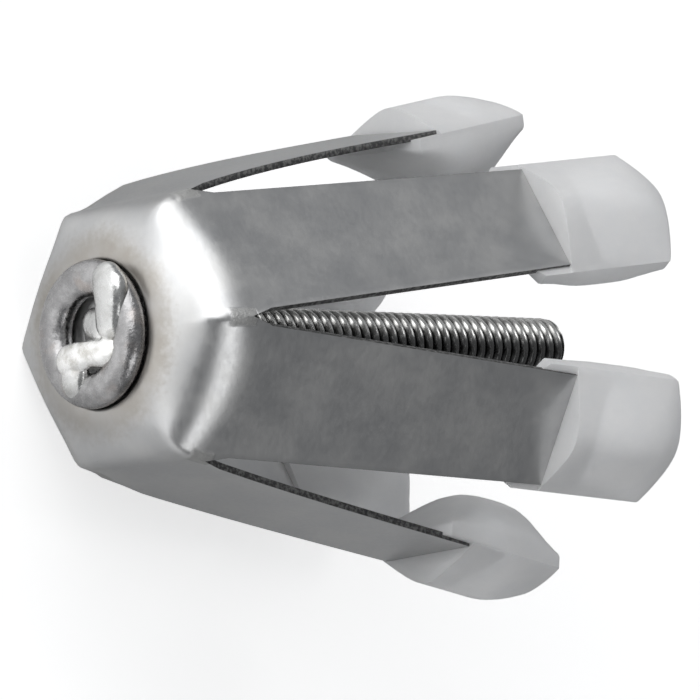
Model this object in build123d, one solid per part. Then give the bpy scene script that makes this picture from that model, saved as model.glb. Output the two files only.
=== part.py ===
from build123d import *
import os
from math import asin, cos, radians, sin, sqrt, tan

# Spring claw anchor: a six-legged claw pressed from one sheet, a threaded rod on its axis,
# a steel ring that the rod is tack-welded to, and a plastic tip on the end of each leg.
# All sizes are in millimetres and all angles in degrees.
# The claw is drawn with its axis on Z, the closed hub face at Z = 0 and the legs pointing down.
# At the end the whole anchor is turned on its side, because that is how it comes to rest.

# Pressed claw
leg_count = 6
sheet = 0.7               # thickness of the sheet
face_apothem = 12.6       # axis to the line where the planes of the face and of a leg would meet
splay = 12.2              # lean of a leg away from the axis
edge_radius = 1.2         # outside radius of the bend at the edge of the face
root_radius = 45.0        # outside radius of the gentle curve at the root of a leg
root_depth = 4.0          # depth below the face where that curve runs out into the flat leg
skirt_land = 0.3          # from there to the notches between the legs
leg_root_width = 14.4
leg_end_width = 12.2      # width at the lip of the plastic tip
lip_depth = 42.8          # depth below the face of the lip of the plastic tip
leg_embed = 4.0           # steel that goes on inside the plastic

# Threaded rod, drawn at its outside diameter; its neck goes through the face
rod_diameter = 6.35
rod_reach = 61.3          # depth of the free end below the face
rod_chamfer = 0.7
neck_diameter = 4.9
neck_clearance = 0.1      # radial play of the neck in the hole of the face
neck_rise = 1.8           # height of the welded end above the face
shoulder_chamfer = 0.3    # on the shoulder that bears on the inside of the face

# Steel ring on the face
ring_diameter = 14.9
ring_hole = 7.0
ring_height = 3.1
ring_rounding = 1.4
ring_shift = -0.8         # centre of the ring off the axis, along X

# Tack welds: each is a long bead lying across the ring and the end of the rod
tack_width = 3.4
tack_long = 9.6           # length of the longer bead
tack_short = 7.6
tack_long_spot = (-0.8, -3.2)
tack_short_spot = (3.0, 2.2)
tack_long_turn = 20.0
tack_short_turn = 92.0
tack_lift = 2.4           # height of the middle of a bead above the face

# Plastic tips, measured along the leg from the lip, which lies on the outside of the steel
tip_width = 13.8
tip_heel = 5.3            # reach of the plastic back along the inside of the leg
tip_toe = 13.8            # reach of the plastic past the lip, on its middle line
tip_toe_bow = 1.2         # how much shorter the toe is at its sides
toe_corner_radius = 1.6
heel_corner = 2.0         # cut off the corners of the heel
lobe_radius = 7.1         # round lobe inside the plane of the leg
lobe_start = 2.5          # where the lobe reaches its full radius
lobe_end = 9.0            # where it starts to draw in to the toe
lobe_rounding = 5.0
lobe_heel_radius = 1.2
lobe_toe_radius = 1.8
side_depth = 2.2          # straight side faces, inside the plane of the leg
edge_drop = 0.3           # outside edge of the side faces below the plane of the leg
roof_slope = 33.0         # slope of the two outside faces, which meet in a rounded ridge
ridge_radius = 3.5
roof_end = 9.5            # where the ridge starts to fall to the toe
toe_rise = 0.8            # outside of the toe above the plane of the leg
side_tip_seat = 2.0       # how much further up their legs the two side tips sit

# Sizes that follow from the ones above
skirt_depth = root_depth + skirt_land
leg_length = (lip_depth - root_depth) / cos(radians(splay))
lip_apothem = face_apothem + lip_depth * tan(radians(splay))
neck_hole = neck_diameter / 2 + neck_clearance
roof_peak = tip_width / 2 * tan(radians(roof_slope)) - edge_drop
crown_rise = roof_peak - ridge_radius * (1 / cos(radians(roof_slope)) - 1)
toe_radius = ((tip_width / 2) ** 2 + tip_toe_bow ** 2) / (2 * tip_toe_bow)
reach = 2 * lip_apothem   # larger than anything that a cut has to pass through
step_angle = 360.0 / leg_count
leg_angles = [step_angle / 2 + step_angle * leg for leg in range(leg_count)]
side_angles = (90.0, 270.0)


def bent_side(inset, depth):
    """Everything on the inner side of one leg's bent surface, moved in by inset."""
    lean = radians(splay)
    radius = root_radius - inset
    centre_x = face_apothem + root_depth * tan(lean) - root_radius * cos(lean)
    centre_z = -root_depth - root_radius * sin(lean)

    def on_curve(angle):
        return (centre_x + radius * cos(angle), centre_z + radius * sin(angle))

    edge_lean = asin((-inset - centre_z) / radius)
    edge, root = on_curve(edge_lean), on_curve(lean)
    foot = (root[0] + (depth + root[1]) * tan(lean), -depth)
    curve = ThreePointArc(edge, on_curve((edge_lean + lean) / 2), root)
    outline = make_face(curve + Polyline(root, foot, (-reach, -depth), (-reach, -inset), edge))
    edge_corner = outline.vertices().group_by(Axis.Y)[-1].sort_by(Axis.X)[-1]
    return extrude(Plane.XZ * fillet(edge_corner, edge_radius - inset), reach, both=True)


def hub_body(inset, depth):
    """The hub's form, one bent side for each leg, with mitred corners between them."""
    side = bent_side(inset, depth)
    body = Rot(0, 0, leg_angles[0]) * side
    for angle in leg_angles[1:]:
        body = body & (Rot(0, 0, angle) * side)
    return body


def leg_plate():
    """One flat leg in its own frame: X along the leg from the lip, Z out of the sheet."""
    taper = (leg_root_width - leg_end_width) / 2 / leg_length
    root = leg_root_width / 2
    end = leg_end_width / 2 - taper * leg_embed
    corners = [(-leg_length, -root), (leg_embed, -end), (leg_embed, end), (-leg_length, root)]
    return extrude(make_face(Polyline(corners, close=True)), -sheet)


def on_leg(shape, angle):
    """Moves a shape from the frame of a leg to that leg's place on the claw."""
    lean = radians(splay)
    frame = Plane(
        origin=(lip_apothem, 0, -lip_depth),
        x_dir=(sin(lean), 0, -cos(lean)),
        z_dir=(cos(lean), 0, sin(lean)),
    )
    return Rot(0, 0, angle) * (frame.location * shape)


def make_claw():
    claw = hub_body(0, skirt_depth) - hub_body(sheet, skirt_depth + sheet)
    for angle in leg_angles:
        claw = claw + on_leg(leg_plate(), angle)
    return claw - Cylinder(neck_hole, reach)


def make_rod():
    """The rod hangs from its shoulder at the inside of the face, and its neck rises through the hole."""
    at_shoulder = Pos(0, 0, -sheet)
    downward = (Align.CENTER, Align.CENTER, Align.MAX)
    rod = at_shoulder * Cylinder(rod_diameter / 2, rod_reach - sheet, align=downward)
    ends = rod.edges().filter_by(GeomType.CIRCLE).sort_by(Axis.Z)
    rod = chamfer(ends[0], rod_chamfer)
    rod = chamfer(rod.edges().filter_by(GeomType.CIRCLE).sort_by(Axis.Z)[-1], shoulder_chamfer)
    neck = Cylinder(neck_diameter / 2, sheet + neck_rise, align=(Align.CENTER, Align.CENTER, Align.MIN))
    return rod + at_shoulder * neck


def make_ring():
    """The ring's rounded section, which leaves a narrow flat for it to lie on."""
    width = (ring_diameter - ring_hole) / 2
    section = Pos(ring_hole / 2, 0) * Rectangle(width, ring_height, align=(Align.MIN, Align.MIN))
    section = fillet(section.vertices(), ring_rounding)
    return Pos(ring_shift, 0, 0) * revolve(Plane.XZ * section, Axis.Z)


def bead(length, spot, turn):
    upper_half = SlotOverall(length, tack_width) & Rectangle(length, length, align=(Align.CENTER, Align.MIN))
    return Pos(spot[0], spot[1], tack_lift) * (Rot(0, 0, turn) * revolve(upper_half, Axis.X))


def make_tacks(claw, rod, ring):
    long_bead = bead(tack_long, tack_long_spot, tack_long_turn) - ring - rod - claw
    short_bead = bead(tack_short, tack_short_spot, tack_short_turn) - ring - rod - claw
    return long_bead + short_bead


def tip_plan():
    """Outline of a tip seen from outside the leg: cut corners at the heel, a bowed toe."""
    block = Pos(-tip_heel, 0) * Rectangle(tip_heel + tip_toe, tip_width, align=(Align.MIN, Align.CENTER))
    block = chamfer(block.vertices().group_by(Axis.X)[0], heel_corner)
    plan = block & (Pos(tip_toe - toe_radius, 0) * Circle(toe_radius))
    toe_corners = plan.vertices().filter_by(lambda corner: corner.X > tip_toe / 2)
    return fillet(toe_corners, toe_corner_radius)


def tip_lobe():
    """The round inner part, turned about the line along the leg."""
    profile = make_face(Polyline(
        (-tip_heel, 0), (-tip_heel, lobe_heel_radius), (lobe_start, lobe_radius),
        (lobe_end, lobe_radius), (tip_toe, lobe_toe_radius), (tip_toe, 0), close=True,
    ))
    profile = fillet(profile.vertices().group_by(Axis.Y)[-1], lobe_rounding)
    return revolve(profile, Axis.X) & extrude(tip_plan(), -reach)


def tip_roof():
    """The outer part: two slopes with a rounded ridge that falls off at the toe."""
    half = tip_width / 2
    section = make_face(Polyline(
        (-half, -side_depth), (half, -side_depth), (half, -edge_drop),
        (0, roof_peak), (-half, -edge_drop), close=True,
    ))
    section = fillet(section.vertices().sort_by(Axis.Y)[-1], ridge_radius)
    beam = extrude(Plane.YZ * section, reach, both=True)
    side_view = make_face(Polyline(
        (-tip_heel, -side_depth), (tip_toe, -side_depth), (tip_toe, toe_rise),
        (roof_end, crown_rise), (0, roof_peak), (0, 0), (-tip_heel, 0), close=True,
    ))
    return beam & extrude(Plane.XZ * side_view, reach, both=True) & extrude(tip_plan(), reach, both=True)


def make_tip(body, angle):
    """A tip on its leg, with the pocket that the leg's end fills."""
    seat = side_tip_seat if angle in side_angles else 0
    return on_leg(Pos(-seat, 0, 0) * body - leg_plate(), angle)


def side_lie(lean):
    """Turns the anchor on its side, with the free end of the rod pointing to +X."""
    return Rot(0, -90 - lean, 0)


def lowest(shape, lean):
    return (side_lie(lean) * shape).bounding_box().min.Z


def resting_lean(claw, tips):
    """Lean at which the hub's lowest corner and the lowest tips touch one level floor."""
    low, high = 0.0, 45.0
    for _ in range(24):
        lean = (low + high) / 2
        if lowest(tips, lean) < lowest(claw, lean):
            low = lean
        else:
            high = lean
    return (low + high) / 2


claw = make_claw()
rod = make_rod()
ring = make_ring()
tacks = make_tacks(claw, rod, ring)
tip_body = tip_lobe() + tip_roof()
tips = [make_tip(tip_body, angle) for angle in leg_angles]

nodes = {"claw": claw, "threaded_rod": rod, "end_ring": ring, "weld_tacks": tacks}
for number, tip in enumerate(tips, 1):
    nodes[f"tip_{number}"] = tip

lean = resting_lean(claw, Compound(tips))
turned = {name: side_lie(lean) * shape for name, shape in nodes.items()}
box = Compound(list(turned.values())).bounding_box()
settle = Pos(-box.center().X, -box.center().Y, -box.min.Z)

os.makedirs("parts", exist_ok=True)
for name, shape in turned.items():
    export_step(settle * shape, f"parts/{name}.step")

print(f"lean {lean:.3f} degrees, box {box.size.X:.2f} x {box.size.Y:.2f} x {box.size.Z:.2f} mm")
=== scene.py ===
# %% [markdown]
# # A six-legged wall anchor
#
# A claw of six legs is pressed from one steel sheet. A threaded rod hangs in it, a steel ring is
# welded to the rod on the closed end, and each leg ends in a frosted plastic tip. The anchor lies
# on its side. The solids from the drawing are loaded first: they give the place and the size of
# each piece, and every piece made here is compared with the solid that it stands for.

# %% Load the frame
import bpy, bmesh, math
from mathutils import Matrix, Vector, noise


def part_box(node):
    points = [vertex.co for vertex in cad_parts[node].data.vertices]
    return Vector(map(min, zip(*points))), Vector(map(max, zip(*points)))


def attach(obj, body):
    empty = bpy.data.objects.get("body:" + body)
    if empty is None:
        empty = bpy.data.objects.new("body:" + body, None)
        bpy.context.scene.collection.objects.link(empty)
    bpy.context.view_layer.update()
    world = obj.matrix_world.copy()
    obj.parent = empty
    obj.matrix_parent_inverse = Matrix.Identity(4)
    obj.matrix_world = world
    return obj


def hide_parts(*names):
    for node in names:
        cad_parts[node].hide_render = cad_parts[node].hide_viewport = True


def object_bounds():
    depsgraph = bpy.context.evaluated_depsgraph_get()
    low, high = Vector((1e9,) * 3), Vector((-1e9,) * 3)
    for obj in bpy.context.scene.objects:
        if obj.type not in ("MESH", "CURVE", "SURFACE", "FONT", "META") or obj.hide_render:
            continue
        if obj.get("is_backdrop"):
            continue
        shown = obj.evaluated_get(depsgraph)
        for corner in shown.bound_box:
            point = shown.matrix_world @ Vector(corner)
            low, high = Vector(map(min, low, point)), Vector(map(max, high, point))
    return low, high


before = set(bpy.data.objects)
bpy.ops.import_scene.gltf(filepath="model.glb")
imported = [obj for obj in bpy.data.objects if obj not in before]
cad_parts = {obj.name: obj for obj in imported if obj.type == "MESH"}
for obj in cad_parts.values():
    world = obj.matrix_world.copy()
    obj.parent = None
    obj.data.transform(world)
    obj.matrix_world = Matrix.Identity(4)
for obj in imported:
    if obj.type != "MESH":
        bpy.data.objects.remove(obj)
cad_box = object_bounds()
print("pieces in the drawing:", sorted(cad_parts))

# %% [markdown]
# ## From the workbench to the floor
#
# It is easiest to model the anchor standing up: its axis on Z, the closed face at Z = 0, the legs
# pointing down, all in millimetres. One matrix then turns the finished mesh to the way that the
# anchor lies, in metres. The place goes into the mesh, so that every object stays at the origin
# and a pattern made in object coordinates doesn't slide.

# %% The matrix that lays the anchor down
MM = 0.001
lean_of_axis = 10.214  # degrees off level, once two tips and the hub's corner touch the floor
place_of_face = Vector((-28.0803, 0.0, 14.6127))  # millimetres: the middle of the face lies here
quarter_turn_and_lean = math.radians(-90 - lean_of_axis)
lay_down = (
    Matrix.Translation(place_of_face * MM)
    @ Matrix.Rotation(quarter_turn_and_lean, 4, "Y")
    @ Matrix.Scale(MM, 4)
)
print("the middle of the face lies at", [round(v, 4) for v in lay_down.translation])

# %% Hand a finished mesh over to the scene
def compare_with_solid(mesh, node):
    """Prints how far the mesh's box is from that of its solid, per axis, in millimetres."""
    low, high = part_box(node)
    places = [v.co for v in mesh.vertices]
    below = [round((min(p[i] for p in places) - low[i]) / MM, 2) for i in range(3)]
    above = [round((max(p[i] for p in places) - high[i]) / MM, 2) for i in range(3)]
    print(mesh.name, len(mesh.polygons), "faces, low side off by", below, "high side by", above)


def place_piece(shape, name, node, material, smooth_angle=35):
    """Lays the mesh down, makes it an object and lets it stand for the solid of the drawing."""
    bmesh.ops.transform(shape, matrix=lay_down, verts=shape.verts)
    mesh = bpy.data.meshes.new(name)
    shape.to_mesh(mesh)
    shape.free()
    mesh.shade_smooth()
    mesh.set_sharp_from_angle(angle=math.radians(smooth_angle))
    mesh.materials.append(material)
    piece = bpy.data.objects.new(name, mesh)
    bpy.context.collection.objects.link(piece)
    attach(piece, "root")
    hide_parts(node)
    compare_with_solid(mesh, node)
    return piece

# %% [markdown]
# ## Camera
#
# The photograph was taken from far off with a long lens, looking at the closed end and along the
# legs, with the camera turned on its side. The camera's place was worked out from the corners of
# the claw, so it is given on the standing anchor and laid down with the same matrix.

# %% Camera
eye = Vector((442.58, -60.37, 391.87))
to_the_right = Vector((0.68670, -0.05761, -0.72465))
forward = Vector((-0.71862, 0.09655, -0.68866))
camera_data = bpy.data.cameras.new("camera")
camera_data.sensor_width, camera_data.lens = 36.0, 308.6
camera_data.clip_start, camera_data.clip_end = 0.01, 5.0
camera = bpy.data.objects.new("camera", camera_data)
bpy.context.collection.objects.link(camera)
turn = lay_down.to_3x3().normalized()
right, ahead = (turn @ to_the_right).normalized(), (turn @ forward).normalized()
up = right.cross(ahead).normalized()
right = ahead.cross(up)
facing = Matrix((right, up, -ahead)).transposed().to_4x4()
camera.matrix_world = Matrix.Translation(lay_down @ eye) @ facing
bpy.context.scene.camera = camera
print("camera at", [round(v, 3) for v in lay_down @ eye])
print("it looks along", [round(v, 3) for v in ahead])

# %% [markdown]
# ## Tools for the finishes
#
# A finish is a tree of nodes, and most of its nodes only add, multiply or rescale a value. The
# small class below lets us write that as sums: x + y makes an Add node. The patterns lie on the
# standing anchor, in millimetres: the Mapping node works backwards here (type TEXTURE), so it
# undoes the matrix that laid the anchor down.

# %% Nodes, and values that vary over the surface
def new_finish(name):
    finish = bpy.data.materials.new(name)
    finish.use_nodes = True
    return finish, finish.node_tree, finish.node_tree.nodes["Principled BSDF"]


def feed(tree, socket, source):
    """Gives a node's input a pattern, another node's output or a plain value."""
    source = getattr(source, "socket", source)
    if isinstance(source, bpy.types.NodeSocket):
        tree.links.new(source, socket)
    else:
        socket.default_value = source


def add_node(tree, kind, *sources, **settings):
    """Adds a node; the sources go to its inputs, in order."""
    made = tree.nodes.new(kind)
    for key, value in settings.items():
        setattr(made, key, value)
    for socket, source in zip(made.inputs, sources):
        feed(tree, socket, source)
    return made


class Pattern:
    """A value that varies over the surface. Sums and products of patterns are nodes as well."""

    def __init__(self, tree, socket):
        self.tree, self.socket = tree, socket

    def math(self, operation, *others):
        made = add_node(self.tree, "ShaderNodeMath", self, *others, operation=operation)
        return Pattern(self.tree, made.outputs[0])

    def __add__(self, other):
        return self.math("ADD", other)

    def __sub__(self, other):
        return self.math("SUBTRACT", other)

    def __mul__(self, other):
        return self.math("MULTIPLY", other)

    def __truediv__(self, other):
        return self.math("DIVIDE", other)

    def at_least(self, other):
        return self.math("MAXIMUM", other)

    def ramp(self, low, high, new_low=0.0, new_high=1.0):
        """Eases the values between low and high to a new range, and holds those outside it."""
        made = add_node(self.tree, "ShaderNodeMapRange", self, low, high, new_low, new_high,
                        interpolation_type="SMOOTHSTEP")
        return Pattern(self.tree, made.outputs[0])


print("tools for the finishes are ready")

# %% Places, clouds, colours and relief
def on_anchor(tree, stretch=(1.0, 1.0, 1.0)):
    """Millimetres on the standing anchor; a stretch over 1 draws a pattern out along that axis."""
    place = add_node(tree, "ShaderNodeTexCoord")
    turned = add_node(tree, "ShaderNodeMapping", place.outputs["Object"], vector_type="TEXTURE")
    turned.inputs["Location"].default_value = place_of_face * MM
    turned.inputs["Rotation"].default_value = (0, quarter_turn_and_lean, 0)
    turned.inputs["Scale"].default_value = [MM * s for s in stretch]
    return turned.outputs[0]


def axes(tree, place):
    """The three coordinates of a place, as patterns."""
    return [Pattern(tree, part) for part in add_node(tree, "ShaderNodeSeparateXYZ", place).outputs]


def distance(x, y):
    return (x * x + y * y).math("SQRT")


def cloudy(tree, place, scale, detail, rough):
    """Soft noise from 0 to 1, with about as many clouds to a millimetre as the scale says."""
    made = add_node(tree, "ShaderNodeTexNoise", place)
    made.inputs["Scale"].default_value = scale
    made.inputs["Detail"].default_value = detail
    made.inputs["Roughness"].default_value = rough
    return Pattern(tree, made.outputs[0])


def mix_colour(tree, share, first, second):
    """Goes from the first colour to the second. The Mix node keeps its colours at 6 and 7."""
    made = add_node(tree, "ShaderNodeMix", data_type="RGBA")
    for number, source in ((0, share), (6, first), (7, second)):
        feed(tree, made.inputs[number], source)
    return made.outputs[2]


def bump_from(tree, shader, height, depth_mm, strength):
    """Lets a pattern raise the surface by up to depth_mm."""
    made = add_node(tree, "ShaderNodeBump")
    made.inputs["Strength"].default_value = strength
    made.inputs["Distance"].default_value = depth_mm * MM
    feed(tree, made.inputs["Height"], height)
    tree.links.new(made.outputs[0], shader.inputs["Normal"])


def dress(tree, shader, colour, roughness, metallic=1.0):
    feed(tree, shader.inputs["Base Color"], colour)
    feed(tree, shader.inputs["Roughness"], roughness)
    shader.inputs["Metallic"].default_value = metallic


print("patterns are measured in millimetres on the standing anchor")

# %% [markdown]
# ## Finish of the claw
#
# The sheet is satin steel: it mirrors the room, but blurred. Four things keep it from looking
# like plain grey: cloudy patches where oil and handling changed the gloss, a very fine grain, a
# brown tint on the face where the heat of the weld reached, and the dark, rough steel of the
# sheared edges and of the torn ends of the slots. A picture of steel could be wrapped round the
# sheet, but it would need unwrapping and show its seams. Patterns worked out from the place on
# the anchor need neither: the tint follows the distance to the ring, the torn steel that to the
# folds. Only the sheared edges are marked by the mesh itself, in an attribute.

# %% Claw finish
ring_shift = -1.5  # millimetres along X: the ring wasn't welded quite in the middle
half_arm = math.radians(30)


def make_claw_steel():
    finish, tree, shader = new_finish("claw_steel")
    here = on_anchor(tree)
    x, y, z = axes(tree, here)
    clouds = cloudy(tree, here, 0.16, 5.0, 0.6)
    grain = cloudy(tree, on_anchor(tree, (1.0, 6.0, 1.0)), 2.2, 6.0, 0.7)
    specks = cloudy(tree, here, 1.6, 3.0, 0.5)
    edge_mottle = cloudy(tree, here, 2.4, 3.0, 0.6)
    pits = cloudy(tree, here, 2.8, 4.0, 0.7)

    from_ring = distance(x - ring_shift, y)
    wavy = from_ring + (specks - 0.5) * 2.4
    heated = wavy.ramp(6.6, 7.6) * wavy.ramp(8.8, 11.6, 1.0, 0.0)
    heated = heated * z.ramp(-1.2, -0.4) * clouds.ramp(0.35, 0.65, 0.55, 1.0)

    turned_from_fold = y.math("ARCTAN2", x).math("PINGPONG", half_arm)
    from_fold = turned_from_fold.math("SINE") * from_ring
    torn = from_fold.ramp(0.7, 1.15, 1.0, 0.0) * z.ramp(-2.9, -2.3, 1.0, 0.0) * z.ramp(-5.2, -4.9)

    mark = add_node(tree, "ShaderNodeAttribute", attribute_name="sheared").outputs["Fac"]
    cut_edge = Pattern(tree, mark).ramp(0.90, 0.99)

    steel = mix_colour(tree, clouds.ramp(0.3, 0.7),
                       (0.50, 0.505, 0.51, 1), (0.575, 0.575, 0.57, 1))
    steel = mix_colour(tree, heated * 0.85, steel, (0.350, 0.324, 0.290, 1))
    steel = mix_colour(tree, torn * 0.6, steel, (0.36, 0.36, 0.35, 1))
    # The sheared edges are coloured darker and mottled.
    dark_edge_colour = mix_colour(tree, edge_mottle.ramp(0.4, 0.65),
                       (0.10, 0.10, 0.10, 1), (0.26, 0.26, 0.255, 1))
    blur = clouds.ramp(0.3, 0.7, 0.30, 0.38) + cut_edge * 0.2
    blur = blur + grain.ramp(0.3, 0.7, -0.03, 0.05) + torn * 0.3
    dress(tree, shader, mix_colour(tree, cut_edge, steel, dark_edge_colour), blur)
    relief = grain * 0.25 + clouds * 0.5 + torn * (pits * 6.0)
    bump_from(tree, shader, relief, 0.03, 0.6)
    return finish


claw_steel = make_claw_steel()
print("claw finish:", len(claw_steel.node_tree.nodes), "nodes")

# %% [markdown]
# ## The claw
#
# The real claw starts as a flat star cut from sheet. A press folds its six arms down over a
# hexagonal punch. We follow that: one arm is a flat grid whose rows run from the rod's hole over
# the face, round the bend and down the leg, and each point is moved to its place on the folded
# arm. The other arms are made the same way, turned about the axis, and where two arms meet the
# merged points make the fold. Only below the slot's end do the arms part. Slots cut out of a
# solid cup would give the same outline, but a ragged mesh, and gloss shows every uneven face.

# %% Sizes of the claw
sheet = 0.7
splay = math.radians(12.2)
face_apothem = 12.6  # axis to the line where the planes of the face and of a leg would meet
hole_radius = 2.55
notch_depth = 4.3
lip_depth = 42.8
lip_apothem = face_apothem + lip_depth * math.tan(splay)
steel_past_lip = 4.0
half_width_at_notch, half_width_at_lip = 7.2, 6.1
arm_angles = [30, 90, 150, 210, 270, 330]
print("apothem at the lips:", round(lip_apothem, 2))

# %% [markdown]
# The face isn't quite flat. It swells toward the middle, and the ring lies in a shallow seat in
# that swelling. The seat's rows are therefore circles round the ring, not round the rod. The bend
# at the edge is tight at the back of the hub. In front the punch pressed less hard, and there it
# is soft and wide, most so on the middle of an arm.

# %% Rows of the grid, from the hole outward
seat_rows = [  # distance from the ring's middle, height above the seat
    (5.0, 0.0), (6.5, 0.0), (7.0, 0.0), (7.15, 0.08),
    (7.3, 0.34), (7.42, 0.58), (7.55, 0.68), (7.75, 0.70),
]
dome_height, dome_edge, dome_foot = 0.70, 7.75, 12.6
dome_steps, bend_steps, collar_steps, leg_steps = 4, 16, 3, 18
face_rows = 1 + len(seat_rows) + dome_steps
last_joined = face_rows + bend_steps + collar_steps
rows, columns = last_joined + leg_steps + 1, 25
print("rows of an arm:", rows, "of which", last_joined + 1, "join their neighbours")

# %% The face and the bend
tight_bend = 1.1  # radius at the back of the hub, in millimetres
softer_in_front, softer_on_an_arm = 4.4, 2.4  # added in front, and added there between the folds
full_turn = math.pi / 2 - splay


def smooth_share(value, low, high):
    share = max(0.0, min(1.0, (value - low) / (high - low)))
    return share * share * (3 - 2 * share)


def dome(x, y):
    """How high the face stands at a place."""
    return dome_height * (1 - smooth_share(math.hypot(x - ring_shift, y), dome_edge, dome_foot))


def round_the_ring(heading, reach):
    """How far from the axis a circle round the ring's middle lies in one direction."""
    near = ring_shift * math.cos(heading)
    return near + math.sqrt(reach ** 2 - ring_shift ** 2 + near ** 2)


def bend_radius(heading, across):
    """Radius of the bend in a direction. Across runs from one fold (-1) to the next (1)."""
    front = ((1 + math.cos(heading)) / 2) ** 1.3
    return tight_bend + (softer_in_front + softer_on_an_arm * (1 - across * across)) * front


def bent_run(radius, ease=0.35):
    """Points (out, down) of the sheet's outer side through the bend, which eases in and out."""
    out, down, points = 0.0, 0.0, [(0.0, 0.0)]
    step = 1.0 / bend_steps
    for i in range(bend_steps):
        share = (i + 0.5) * step
        turned = full_turn * (share - ease * math.sin(math.tau * share) / math.tau)
        out += math.cos(turned) * radius * full_turn * step
        down += math.sin(turned) * radius * full_turn * step
        points.append((out, down))
    return points


def arm_profile(heading, across):
    """(radius, depth) along one arm: round the bend, down to the slot's end, down the leg."""
    run = bent_run(bend_radius(heading, across))
    out, down = run[-1]
    start = face_apothem + math.tan(splay) * down - out
    joined_to = max(notch_depth, down + 0.3)
    end = lip_depth + steel_past_lip * math.cos(splay)
    depths = [down + (joined_to - down) * i / collar_steps for i in range(1, collar_steps + 1)]
    depths += [joined_to + (end - joined_to) * i / leg_steps for i in range(1, leg_steps + 1)]
    flat = [(face_apothem + math.tan(splay) * d, d) for d in depths]
    return [(start + p[0], p[1]) for p in run] + flat


for heading, across in ((0, 1), (30, 0), (90, 0), (180, 1)):
    bend = arm_profile(math.radians(heading), across)[:bend_steps + 1]
    starts, ends = round(bend[0][0], 2), round(bend[-1][1], 2)
    print("heading", heading, "the bend starts at radius", starts, "and ends at depth", ends)

# %% [markdown]
# The two legs at the sides weren't pressed true: each is a little bowed and twisted, and all the
# roots arch slightly between their folds. Such faults show at once where steel mirrors a lamp.

# %% Small faults of the real legs
leg_twist = {90: 1.15, 270: -0.55}
leg_bow = {90: 0.65, 270: 0.25}
root_arch, arch_depth, arch_length = 0.20, 6.0, 3.6


def share_of_leg(depth):
    """0 at the slot's end, 1 at the lip of the plastic."""
    return max(0.0, depth - notch_depth) / (lip_depth - notch_depth)


def sprung(angle, across, depth):
    """How far the sheet stands out from a true leg."""
    arch = root_arch * (1 - across * across) * math.exp(-((depth - arch_depth) / arch_length) ** 2)
    bow = leg_bow.get(angle, 0.0) * math.sin(math.pi * min(1.0, share_of_leg(depth)) ** 0.7)
    twist = leg_twist.get(angle, 0.0)
    lifted_side = (1 + across) / 2 if twist > 0 else (1 - across) / 2
    return arch + bow + abs(twist) * lifted_side * smooth_share(depth, 2.6, 9.5)


halfway = [round(sprung(90, across, lip_depth / 2), 2) for across in (-1, 0, 1)]
print("halfway down, the leg at 90 degrees stands out by", halfway, "mm")

# %% One arm, folded
def point_on_face(row, heading, edge):
    """(distance from the axis, height) in a row inside the bend, whose start is at the edge."""
    if row == 0:
        return hole_radius, 0.0
    reach, rise = seat_rows[min(row, len(seat_rows)) - 1]
    reach = round_the_ring(heading, reach)
    if row > len(seat_rows):
        reach += (edge - reach) * (row - len(seat_rows)) / (dome_steps + 1)
        rise = dome(reach * math.cos(heading), reach * math.sin(heading))
    return reach, rise


def point_past_face(row, angle, heading, across, profile):
    """(out, sideways, height) in a row of the bend or of the leg."""
    radius, depth = profile[row - face_rows]
    side = across * radius * math.tan(half_arm)
    if row > last_joined:
        side = across * (half_width_at_notch
                         + (half_width_at_lip - half_width_at_notch) * share_of_leg(depth))
    reach, out = math.hypot(radius, side), sprung(angle, across, depth)
    rise = dome(reach * math.cos(heading), reach * math.sin(heading))
    rise *= 1 - smooth_share(depth, 0.0, 2.0)
    return radius + out * math.cos(splay), side, -depth + out * math.sin(splay) + rise


def folded_arm(angle):
    """A flat grid whose points are carried to their places on one arm."""
    arm = bmesh.new()
    bmesh.ops.create_grid(arm, x_segments=rows - 1, y_segments=columns - 1, size=1.0)
    for point in arm.verts:
        row, across = round((point.co.x + 1) / 2 * (rows - 1)), point.co.y
        swing = math.atan(across * math.tan(half_arm))
        heading = math.radians(angle) + swing
        profile = arm_profile(heading, across)
        if row < face_rows:
            reach, rise = point_on_face(row, heading, profile[0][0] / math.cos(swing))
            point.co = (reach * math.cos(swing), reach * math.sin(swing), rise)
        else:
            point.co = point_past_face(row, angle, heading, across, profile)
    spun = Matrix.Rotation(math.radians(angle), 3, "Z")
    bmesh.ops.rotate(arm, verts=arm.verts, cent=(0, 0, 0), matrix=spun)
    return arm


def joined(parts):
    """One mesh out of several."""
    whole = bmesh.new()
    for part in parts:
        holder = bpy.data.meshes.new("holder")
        part.to_mesh(holder)
        part.free()
        whole.from_mesh(holder)
        bpy.data.meshes.remove(holder)
    return whole


claw_mesh = joined([folded_arm(angle) for angle in arm_angles])
above_slots = [v for v in claw_mesh.verts if v.co.z > -notch_depth - 0.3]
bmesh.ops.remove_doubles(claw_mesh, verts=above_slots, dist=0.02)
bmesh.ops.recalc_face_normals(claw_mesh, faces=claw_mesh.faces)
seat_faces = [f for f in claw_mesh.faces if abs(f.calc_center_median().z) < 0.01]
if sum(f.normal.z for f in seat_faces) < 0:
    bmesh.ops.reverse_faces(claw_mesh, faces=claw_mesh.faces)
print("sheet:", len(claw_mesh.faces), "faces")

# %% [markdown]
# The mesh is still a skin without thickness, so its open edges are the cut edges of the sheet.
# They are marked for the finish before the Solidify modifier gives the skin its wall. The folds
# are softened by a few passes of smoothing, and a tiny bevel catches the light on the edges.

# %% Thickness, soft folds and the finished claw
def degrees_from_fold(point):
    heading = math.degrees(math.atan2(point.co.y, point.co.x))
    return abs((heading + 30) % 60 - 30)


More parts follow.
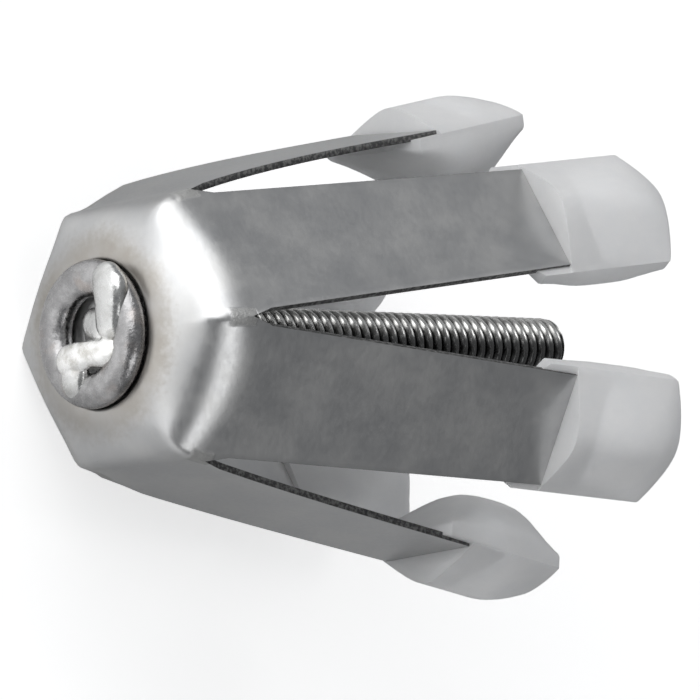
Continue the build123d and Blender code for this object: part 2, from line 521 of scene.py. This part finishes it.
sheared = claw_mesh.verts.layers.float.new("sheared")
for point in claw_mesh.verts:
    point[sheared] = float(point.is_boundary)
fold_points = [v for v in claw_mesh.verts if -3.4 < v.co.z < -0.05 and degrees_from_fold(v) < 6]
for _ in range(3):
    bmesh.ops.smooth_vert(claw_mesh, verts=fold_points, factor=0.5,
                          use_axis_x=True, use_axis_y=True, use_axis_z=True)
claw = place_piece(claw_mesh, "pressed_claw", "claw", claw_steel, smooth_angle=40)
wall = claw.modifiers.new("sheet", "SOLIDIFY")
wall.thickness, wall.offset = sheet * MM, -1
wall.use_even_offset, wall.use_quality_normals = True, True


def bevel_edges(piece, name, width_mm, segments, over_degrees):
    """Rounds only the edges that are sharper than an angle."""
    bevel = piece.modifiers.new(name, "BEVEL")
    bevel.width, bevel.segments = width_mm * MM, segments
    bevel.limit_method, bevel.angle_limit = "ANGLE", math.radians(over_degrees)


bevel_edges(claw, "sheared edges", width_mm=0.09, segments=2, over_degrees=50)

# %% [markdown]
# ## The threaded rod
#
# The thread is one worn, rounded tooth with a narrow groove, and it climbs by one pitch a turn.
# Slanted stripes of bump would be cheaper, but the rod's outline would stay smooth, and here it
# shows. The spin operator turns the outline of one pitch round the axis and moves it up a little
# at each step. Neighbouring turns share their points, so merging them closes the screw. The
# crests are bare steel, the groove is painted near black as shade in its hollows, one side is
# painted dark as shade, for the dark inside of the claw that it mirrors, and the cut end is bare
# steel.

# %% Rod finish
rod_end, shoulder = -61.3, -sheet


def make_rod_steel():
    finish, tree, shader = new_finish("rod_steel")
    here = on_anchor(tree)
    x, y, z = axes(tree, here)
    from_axis = distance(x, y)
    stains = cloudy(tree, here, 0.9, 5.0, 0.6)
    fine = cloudy(tree, on_anchor(tree, (5.0, 5.0, 1.0)), 5.0, 3.0, 0.6)
    cut_face = z.ramp(rod_end + 0.01, rod_end + 0.10, 1.0, 0.0)
    # Painted shade: the groove is coloured near black for the shade in its hollows; crests,
    # shoulder and cut end stay bare steel.
    bare_outside_groove_shade = from_axis.ramp(2.70, 3.05).at_least(z.ramp(-0.6, -0.2)).at_least(cut_face)
    # Painted shade: one side of the rod is darkened, for the dark inside of the claw that it
    # mirrors.
    side_shade_mask = (y / from_axis.at_least(0.5)).ramp(0.0, 0.30, 0.86, 0.0)
    painted_side_shade = side_shade_mask * z.ramp(rod_end + 0.01, rod_end + 0.10)
    bare = mix_colour(tree, stains.ramp(0.35, 0.7), (0.78, 0.78, 0.76, 1), (0.52, 0.515, 0.50, 1))
    bare = mix_colour(tree, painted_side_shade, bare, (0.045, 0.045, 0.047, 1))
    colour = mix_colour(tree, bare_outside_groove_shade, (0.02, 0.02, 0.022, 1), bare)
    dress(tree, shader, colour, fine.ramp(0.3, 0.7, 0.20, 0.30))
    bump_from(tree, shader, fine, 0.012, 0.5)
    return finish


rod_steel = make_rod_steel()
print("rod finish:", len(rod_steel.node_tree.nodes), "nodes")

# %% Spin the thread
pitch = 1.27
crest, root = 3.175, 2.62  # radii
tooth = [  # share of the pitch, radius
    (0.0, root), (0.10, root), (0.28, crest - 0.11), (0.37, crest - 0.03),
    (0.55, crest), (0.73, crest - 0.03), (0.82, crest - 0.11), (1.0, root),
]


def threaded_bar(steps_per_turn=32):
    """A right-handed thread from below the free end to above the shoulder, still without ends."""
    bar = bmesh.new()
    start = rod_end - 1.5 * pitch
    outline = [bar.verts.new((radius, 0, start + rise * pitch)) for rise, radius in tooth]
    edges = [bar.edges.new(pair) for pair in zip(outline, outline[1:])]
    turns = int((shoulder - rod_end) / pitch) + 3
    bmesh.ops.spin(bar, geom=outline + edges, cent=(0, 0, 0), axis=(0, 0, 1),
                   angle=math.tau * turns, dvec=(0, 0, pitch / steps_per_turn),
                   steps=steps_per_turn * turns, use_merge=False, use_duplicate=False)
    bmesh.ops.remove_doubles(bar, verts=bar.verts, dist=0.01)
    return bar


rod_mesh = threaded_bar()
print("thread:", len(rod_mesh.faces), "faces")

# %% Cut it to length, chamfer and close the ends
end_chamfer, shoulder_chamfer = 0.75, 0.3


def cut_and_close(shape, height, keep_above):
    """Cuts the shape level at a height and closes the cut."""
    everything = shape.verts[:] + shape.edges[:] + shape.faces[:]
    cut = bmesh.ops.bisect_plane(shape, geom=everything, dist=1e-5, plane_co=(0, 0, height),
                                 plane_no=(0, 0, -1 if keep_above else 1), clear_outer=True)
    rim = [e for e in cut["geom_cut"] if isinstance(e, bmesh.types.BMEdge)]
    bmesh.ops.contextual_create(shape, geom=rim)


cut_and_close(rod_mesh, rod_end, keep_above=True)
cut_and_close(rod_mesh, shoulder, keep_above=False)
for point in rod_mesh.verts:
    reach = point.co.xy.length
    allowed = min(crest - end_chamfer + (point.co.z - rod_end),
                  crest - shoulder_chamfer + (shoulder - point.co.z))
    if reach > allowed:
        point.co.x *= allowed / reach
        point.co.y *= allowed / reach
bmesh.ops.recalc_face_normals(rod_mesh, faces=rod_mesh.faces)
print("rod:", len(rod_mesh.faces), "faces")

# %% The neck through the face
def spun_once(shape, geometry, steps):
    """Spins an outline once round the axis and closes the seam and the poles."""
    bmesh.ops.spin(shape, geom=geometry, cent=(0, 0, 0), axis=(0, 0, 1), angle=math.tau,
                   steps=steps, use_merge=True, use_duplicate=False)
    bmesh.ops.remove_doubles(shape, verts=shape.verts, dist=0.0005)
    bmesh.ops.recalc_face_normals(shape, faces=shape.faces)
    return shape


def turned_piece(outline):
    shape = bmesh.new()
    points = [shape.verts.new((radius, 0, height)) for radius, height in outline]
    lines = [shape.edges.new(pair) for pair in zip(points, points[1:])]
    return spun_once(shape, points + lines, steps=64)


neck_radius, neck_foot, neck_top = 2.45, shoulder - 0.4, 1.8
neck = turned_piece([
    (0, neck_foot), (neck_radius, neck_foot), (neck_radius, neck_top - 0.35),
    (2.38, neck_top - 0.12), (2.2, neck_top), (1.2, neck_top - 0.05), (0, neck_top - 0.08),
])
place_piece(joined([rod_mesh, neck]), "threaded_rod_visual", "threaded_rod",
            rod_steel, smooth_angle=44)

# %% [markdown]
# ## The ring
#
# A round steel ring lies in the seat of the closed face, a little off the middle. A torus would
# have a round section. So a circle is squashed to the ring's section, flattened underneath where
# it lies, and spun. Its top then sinks in a few soft dents. The steel is blotched, and the heat
# of the weld left it a little brown in places.

# %% Ring finish
def make_ring_steel():
    finish, tree, shader = new_finish("ring_steel")
    here = on_anchor(tree)
    blotch = cloudy(tree, here, 0.55, 4.0, 0.6)
    pits = cloudy(tree, here, 2.6, 5.0, 0.65)
    warm = cloudy(tree, here, 0.35, 2.0, 0.5)
    colour = mix_colour(tree, blotch.ramp(0.35, 0.65),
                        (0.295, 0.292, 0.295, 1), (0.405, 0.402, 0.405, 1))
    colour = mix_colour(tree, warm.ramp(0.55, 0.75, 0.0, 0.35), colour, (0.38, 0.31, 0.27, 1))
    dress(tree, shader, colour, pits.ramp(0.3, 0.7, 0.20, 0.36))
    bump_from(tree, shader, blotch * 1.6 + pits * 0.5, 0.10, 0.6)
    return finish


ring_steel = make_ring_steel()
print("ring finish:", len(ring_steel.node_tree.nodes), "nodes")

# %% Spin the ring
ring_hole, ring_outside, ring_height = 3.7, 7.45, 2.9  # two radii and the height
section_middle, half_section = (ring_hole + ring_outside) / 2, (ring_outside - ring_hole) / 2
dent_depth, dents_per_mm, dent_pattern = 0.16, 0.42, Vector((3, 1, 7))


def make_ring_mesh():
    ring = bmesh.new()
    section = bmesh.ops.create_circle(ring, cap_ends=False, segments=28, radius=1.0)["verts"]
    for point in section:
        out, rise = point.co.x, point.co.y
        height = max(0.0, ring_height / 2 * (1 + rise * 1.04) - 0.04)
        point.co = (section_middle + out * half_section, 0, height)
    spun_once(ring, section + ring.edges[:], steps=96)
    for point in ring.verts:
        dent = noise.noise(point.co * dents_per_mm + dent_pattern)
        point.co.z -= dent_depth * max(0.0, dent) * max(0.0, point.co.z / ring_height)
    bmesh.ops.translate(ring, verts=ring.verts, vec=(ring_shift, 0, 0))
    return ring


place_piece(make_ring_mesh(), "end_ring_visual", "end_ring",
            ring_steel, smooth_angle=60)

# %% [markdown]
# ## The weld beads
#
# A weld bead is a string of drops that ran together. So each bead is a row of small flattened
# spheres along its path, and a voxel remesh melts them into one skin, which is then smoothed.
# That gives the necks and swellings of molten metal, which no swept tube has. The beads are
# bright where they were hottest and greyer where they cooled first.

# %% Weld finish
def make_weld_steel():
    finish, tree, shader = new_finish("weld_steel")
    here = on_anchor(tree)
    y = axes(tree, here)[1]
    ripple = cloudy(tree, here, 1.4, 3.0, 0.5)
    soot = cloudy(tree, here, 0.6, 5.0, 0.6)
    colour = mix_colour(tree, soot.ramp(0.42, 0.66), (0.86, 0.86, 0.85, 1), (0.60, 0.59, 0.56, 1))
    cooler = y.ramp(-0.7, 0.6, 0.0, 0.8).at_least(y.ramp(-4.4, -3.6, 0.6, 0.0))
    colour = mix_colour(tree, cooler, colour, (0.50, 0.505, 0.50, 1))
    dress(tree, shader, colour, ripple.ramp(0.3, 0.7, 0.20, 0.34))
    bump_from(tree, shader, ripple, 0.09, 0.6)
    return finish


weld_steel = make_weld_steel()
print("weld finish:", len(weld_steel.node_tree.nodes), "nodes")

# %% Drops along the paths of the beads
upper_bead = [  # x, y, z and radius of each drop, in millimetres
    (2.4, 4.9, 2.5, 1.9), (2.9, 4.0, 2.6, 2.2), (2.8, 2.8, 2.6, 2.0),
    (2.5, 1.6, 2.5, 1.85), (2.4, 0.7, 2.4, 1.85),
]
lower_bead = [
    (2.2, -2.0, 2.3, 1.2), (1.0, -2.2, 2.5, 1.45), (-0.6, -2.1, 2.7, 1.4),
    (-2.2, -2.3, 2.8, 1.6), (-3.6, -2.5, 2.8, 1.65),
]
lower_lobe = [(-2.9, -3.6, 2.5, 1.6), (-3.3, -4.4, 2.4, 1.75), (-3.6, -4.9, 2.2, 1.5)]
pool = [(-1.3, 1.0, 1.1, 1.7), (0.3, 0.6, 1.3, 1.9), (0.9, -1.0, 1.4, 1.6)]
flattened = Matrix.Diagonal((1, 1, 0.62, 1))


def melted_bead(drops):
    """Spheres strung along a path, with more of them in between."""
    bead = bmesh.new()
    for first, second in zip(drops, drops[1:]):
        for share in (0.0, 0.25, 0.5, 0.75, 1.0):
            x, y, z, radius = (a + (b - a) * share for a, b in zip(first, second))
            place = Matrix.Translation((x, y, z)) @ flattened
            bmesh.ops.create_icosphere(bead, subdivisions=3, radius=radius, matrix=place)
    return bead


def remeshed(shape, voxel, smoothing):
    """Melts the overlapping spheres into one skin."""
    mesh = bpy.data.meshes.new("drops")
    shape.to_mesh(mesh)
    shape.free()
    holder = bpy.data.objects.new("drops", mesh)
    bpy.context.collection.objects.link(holder)
    melt = holder.modifiers.new("melt", "REMESH")
    melt.mode, melt.voxel_size = "VOXEL", voxel
    soften = holder.modifiers.new("soften", "SMOOTH")
    soften.factor, soften.iterations = 0.5, smoothing
    seen = holder.evaluated_get(bpy.context.evaluated_depsgraph_get())
    skin = bpy.data.meshes.new_from_object(seen)
    result = bmesh.new()
    result.from_mesh(skin)
    bpy.data.objects.remove(holder)
    bpy.data.meshes.remove(skin)
    return result


strings = [melted_bead(drops) for drops in (upper_bead, lower_bead, lower_lobe, pool)]
weld_mesh = remeshed(joined(strings), voxel=0.11, smoothing=16)
place_piece(weld_mesh, "weld_tacks_visual", "weld_tacks",
            weld_steel, smooth_angle=180)

# %% [markdown]
# ## The plastic tips
#
# Each leg ends in a tip of frosted plastic, moulded round the steel. Outside it has a shallow roof
# with a rounded ridge, which starts at an upright lip across the leg. Inside it swells to a round
# lobe. A box shaped under a Subdivision modifier would lose the crisp lip. So one closed outline
# is extruded from the heel to the toe, and at each station its points are moved to that
# station's outline.

# %% How a tip's width, roof and lobe run along it
tip_half_width = 6.9
heel, toe = -5.3, 13.75  # along the leg, from the lip
crown, side_depth, lobe_depth = 3.45, 1.7, 7.0  # from the plane of the leg, outward and inward
lobe_at_heel, lobe_at_toe, lobe_rise_length, lobe_fall = 1.3, 2.2, 7.6, 1.12
edge_drop = 0.3  # outside edge of the sides below the plane of the leg
fall_start, roof_at_toe = 7.5, 1.6
heel_corner, toe_corner, toe_bow = 2.0, 0.4, 1.2


def soft_min(values, sharpness=1.6):
    return -math.log(sum(math.exp(-sharpness * v) for v in values)) / sharpness


def lobe_at(along):
    """Depth of the inner lobe: rises from the heel, stays full, falls steeply to the toe."""
    rising = lobe_at_heel + (along - heel) * (lobe_depth - lobe_at_heel) / lobe_rise_length
    falling = lobe_at_toe + (toe - along) * lobe_fall
    return soft_min([rising, lobe_depth + 0.25, falling])


def roof_at(along):
    """Height of the ridge: level, then rounding down to the toe."""
    fall = max(0.0, along - fall_start) / (toe - fall_start)
    return crown - (crown - roof_at_toe) * fall ** 1.6


def width_at(along):
    """Half width: cut corners at the heel, rounded corners at the toe."""
    if along < heel + heel_corner:
        return tip_half_width - (heel + heel_corner - along) * 0.9
    past = max(0.0, along - (toe - toe_corner))
    return tip_half_width - toe_corner + math.sqrt(max(0.0, toe_corner ** 2 - past ** 2))


print("lobe at the heel, middle, toe:", [round(lobe_at(s), 2) for s in (heel, 5, toe)])

# %% Outline of a tip at one place
side_share, ridge_softness = 0.12, 0.30


def gable(across):
    """1 on the ridge, 0 at the edges, straight between but for a rounded top."""
    def height(at):
        return math.sqrt(at * at + ridge_softness ** 2) - ridge_softness
    return 1 - height(across) / height(1.0)


def tip_point(angle, along, roofed):
    """The point of the outline in a direction: 0 to pi over the roof, the rest round the lobe."""
    width, depth = width_at(along), lobe_at(along)
    side = min(side_depth, depth * 0.6)
    if angle <= math.pi:
        across = math.cos(angle)
        rise = (roof_at(along) + edge_drop) * gable(across) if roofed else 0.0
        return across * width, rise - edge_drop
    share = (angle - math.pi) / math.pi
    if share < side_share:
        return -width, -edge_drop - (side - edge_drop) * share / side_share
    if share > 1 - side_share:
        return width, -edge_drop - (side - edge_drop) * (1 - share) / side_share
    swing = math.pi * (share - side_share) / (1 - 2 * side_share)
    return -width * math.cos(swing), -side - (depth - side) * math.sin(swing)


print("outline at the middle of a tip:", [round(v, 2) for v in tip_point(math.pi / 2, 5, True)])

# %% Extrude the tip from station to station
behind_lip = [heel + 0.05, heel + 1.0, heel + 2.0, -2.2, -1.1, 0.0]
under_roof = [0.0, 0.9, 2.0, 3.2, 4.6, 6.0, 7.4, 8.6, 9.6, 10.6, 11.4, 12.2,
              toe - 0.4, toe - 0.25, toe - 0.12, toe - 0.05, toe]
stations = [(s, False) for s in behind_lip] + [(s, True) for s in under_roof]


def extruded_rim(tip, rim, angles):
    """Extrudes the last rim; each new point keeps the direction of the one that it came from."""
    edges = {e for v in rim for e in v.link_edges if e.other_vert(v) in rim}
    made = bmesh.ops.extrude_edge_only(tip, edges=list(edges))["geom"]
    new_rim = [g for g in made if isinstance(g, bmesh.types.BMVert)]
    for v in new_rim:
        neighbours = [e.other_vert(v) for e in v.link_edges]
        angles[v] = next(angles[n] for n in neighbours if n in rim)
    return new_rim


def make_tip_mesh():
    """One tip in the frame of its leg: X along the leg from the lip, Y across, Z outward."""
    tip = bmesh.new()
    rim = list(bmesh.ops.create_circle(tip, cap_ends=False, segments=56, radius=1.0)["verts"])
    angles = {v: math.atan2(v.co.y, v.co.x) % math.tau for v in rim}
    tip.faces.new(rim)
    for number, (along, roofed) in enumerate(stations):
        if number:
            rim = extruded_rim(tip, rim, angles)
        for v in rim:
            across, height = tip_point(angles[v], along, roofed)
            bowed = toe_bow * (across / tip_half_width) ** 2 * max(0.0, along / toe) ** 2
            v.co = (along - bowed, across, height)
    tip.faces.new(sorted(rim, key=lambda v: angles[v]))
    bmesh.ops.remove_doubles(tip, verts=tip.verts, dist=0.002)
    bmesh.ops.recalc_face_normals(tip, faces=tip.faces)
    return tip


print("a tip has", len(stations), "stations")

# %% [markdown]
# ## Finish of the tips
#
# The plastic is frosted: light goes in, scatters and comes out softened, and the end of the steel
# shows as a shade. Rough glass alone would look like ice, and plain white would hide the steel.
# So subsurface scattering gives the glow, a share of blurred transmission lets the steel show
# through, and a faint cloudiness keeps it from looking like wax.

# %% Tip finish
def make_tip_plastic():
    finish, tree, shader = new_finish("tip_plastic")
    here = on_anchor(tree)
    clouds = cloudy(tree, here, 0.22, 4.0, 0.6)
    fine = cloudy(tree, here, 3.0, 3.0, 0.5)
    milk = mix_colour(tree, clouds.ramp(0.3, 0.7), (0.91, 0.92, 0.935, 1), (0.98, 0.982, 0.985, 1))
    dress(tree, shader, milk, fine.ramp(0.3, 0.7, 0.34, 0.46), metallic=0.0)
    bump_from(tree, shader, fine, 0.02, 0.4)
    shader.inputs["Subsurface Weight"].default_value = 0.6
    shader.inputs["Subsurface Radius"].default_value = (1.0, 1.0, 1.0)
    shader.inputs["Subsurface Scale"].default_value = 0.0020
    shader.inputs["Transmission Weight"].default_value = 0.26
    shader.inputs["IOR"].default_value = 1.46
    shader.inputs["Specular IOR Level"].default_value = 0.45
    return finish


tip_plastic = make_tip_plastic()
print("tip finish:", len(tip_plastic.node_tree.nodes), "nodes")

# %% [markdown]
# The two side tips sit a little further up their legs than the others. They turn with the twist
# of their legs, and their roofs are made lower by about as much as the twist lifts them.

# %% Put a tip on each leg
tip_seat = {90: 2.4, 270: 1.1}  # millimetres up the leg
leg_width_at_tip = 12.4
lift_taken_back = 0.6  # share of the twist by which such a tip's roof is lowered


def leg_frame(angle):
    """Where a leg's lip is, and which way the leg runs."""
    out = Vector((math.cos(angle), math.sin(angle), 0))
    down = Vector((0, 0, -1))
    along = out * math.sin(splay) + down * math.cos(splay)
    outward = out * math.cos(splay) - down * math.sin(splay)
    across = outward.cross(along)
    place = Matrix((along, across, outward)).transposed().to_4x4()
    place.translation = out * lip_apothem + down * lip_depth
    return place


def on_its_leg(angle):
    """The leg's frame, moved up and turned with the twist where a leg has one."""
    twist = leg_twist.get(angle, 0.0)
    moved = Matrix.Translation((-tip_seat.get(angle, 0.0), 0, abs(twist) / 2))
    turned = Matrix.Rotation(math.atan(twist / leg_width_at_tip), 4, "X")
    return leg_frame(math.radians(angle)) @ moved @ turned


for number, angle in enumerate(arm_angles, 1):
    tip = make_tip_mesh()
    if angle in leg_twist:
        roof = [v for v in tip.verts if v.co.z > 0]
        lower = 1 - abs(leg_twist[angle]) * lift_taken_back / crown
        bmesh.ops.scale(tip, vec=(1, 1, lower), verts=roof)
    bmesh.ops.transform(tip, matrix=on_its_leg(angle), verts=tip.verts)
    piece = place_piece(tip, f"tip_{number}_visual", f"tip_{number}",
                        tip_plastic, smooth_angle=38)
    bevel_edges(piece, "moulded edges", width_mm=0.22, segments=3, over_degrees=38)

# %% [markdown]
# ## Floor and light
#
# The floor is plain and pale. Seen directly it gives a share of light of its own, so that it
# reads as the white of a studio and still shows the anchor's shadow. In the steel it is graded:
# brighter far off and to one side, darker near the anchor, and that gradient is what gives the
# front bends their bright and dark bands. A broad soft lamp and a small one stand on either side
# of the camera, another small one behind puts glints on the thread, and the dim room is a little
# brighter on one side.

# %% Floor
def make_floor_paint():
    """Matt and pale, with a glow that depends on what kind of ray meets the floor."""
    paint, tree, shader = new_finish("floor_paint")
    dress(tree, shader, (0.80, 0.80, 0.80, 1), 0.9, metallic=0.0)
    x, y = axes(tree, add_node(tree, "ShaderNodeTexCoord").outputs["Object"])[:2]
    away = x * -1.0
    slant = y / away.at_least(0.005)
    paler = away.ramp(0.012, 0.052, 0.0, 0.85) + away.ramp(0.05, 0.20, 0.0, 0.60)
    paler = paler * slant.ramp(-0.42, -0.08, 0.42, 1.0)
    rays = add_node(tree, "ShaderNodeLightPath").outputs
    seen = Pattern(tree, rays["Is Camera Ray"]) * 0.6
    mirrored = Pattern(tree, rays["Is Glossy Ray"]) * paler
    # Painted light: seen through the plastic tips the floor glows almost fully, which brightens
    # the tips from below.
    through = Pattern(tree, rays["Is Transmission Ray"]) * 0.9
    strength = through.at_least(seen.at_least(mirrored))
    glow = add_node(tree, "ShaderNodeEmission", (1, 1, 1, 1), strength)
    both = add_node(tree, "ShaderNodeAddShader", shader.outputs[0], glow.outputs[0])
    tree.links.new(both.outputs[0], tree.nodes["Material Output"].inputs["Surface"])
    return paint


def make_floor():
    shape = bmesh.new()
    bmesh.ops.create_grid(shape, x_segments=1, y_segments=1, size=1.6)
    mesh = bpy.data.meshes.new("floor")
    shape.to_mesh(mesh)
    shape.free()
    mesh.materials.append(make_floor_paint())
    floor = bpy.data.objects.new("floor", mesh)
    bpy.context.collection.objects.link(floor)
    floor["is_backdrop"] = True
    return floor


floor = make_floor()
print("floor laid at height", floor.location.z)

# %% Room
world = bpy.data.worlds.new("room")
bpy.context.scene.world = world
world.use_nodes = True
room = world.node_tree
sky = room.nodes["Background"]
sky.inputs["Color"].default_value = (0.96, 0.975, 1.0, 1)
aim = add_node(room, "ShaderNodeTexCoord").outputs["Generated"]
to_the_side = axes(room, aim)[1]
feed(room, sky.inputs["Strength"], to_the_side.ramp(-0.7, 0.7, 0.20, 0.36))
bpy.context.scene.view_settings.view_transform = "Standard"
print("room:", len(room.nodes), "nodes")

# %% Lamps
lamp_distance = 0.9
lamp_target = Vector((0, 0, 0.02))


def soft_lamp(name, heading, height, width, tall, radiance):
    """An area lamp that faces the anchor from a heading and a height in degrees."""
    data = bpy.data.lights.new(name, "AREA")
    data.shape, data.size, data.size_y = "RECTANGLE", width, tall
    data.energy = radiance * math.pi * width * tall
    lamp = bpy.data.objects.new(name, data)
    bpy.context.collection.objects.link(lamp)
    a, e = math.radians(heading), math.radians(height)
    towards = Vector((math.cos(a) * math.cos(e), math.sin(a) * math.cos(e), math.sin(e)))
    place = Matrix.Translation(towards * lamp_distance + lamp_target)
    lamp.matrix_world = place @ towards.to_track_quat("Z", "Y").to_matrix().to_4x4()
    print(name, "radiance", radiance, "power", round(data.energy, 2), "W")


soft_lamp("key lamp", heading=140, height=20, width=1.15, tall=0.70, radiance=2.2)
soft_lamp("fill lamp", heading=-118, height=38, width=0.40, tall=0.42, radiance=1.9)
soft_lamp("back lamp", heading=36, height=41, width=0.32, tall=0.30, radiance=2.6)

# %% Finish
visual_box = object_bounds()
for title, box in (("drawing", cad_box), ("visual", visual_box)):
    print(title, [[round(v / MM, 2) for v in corner] for corner in box])
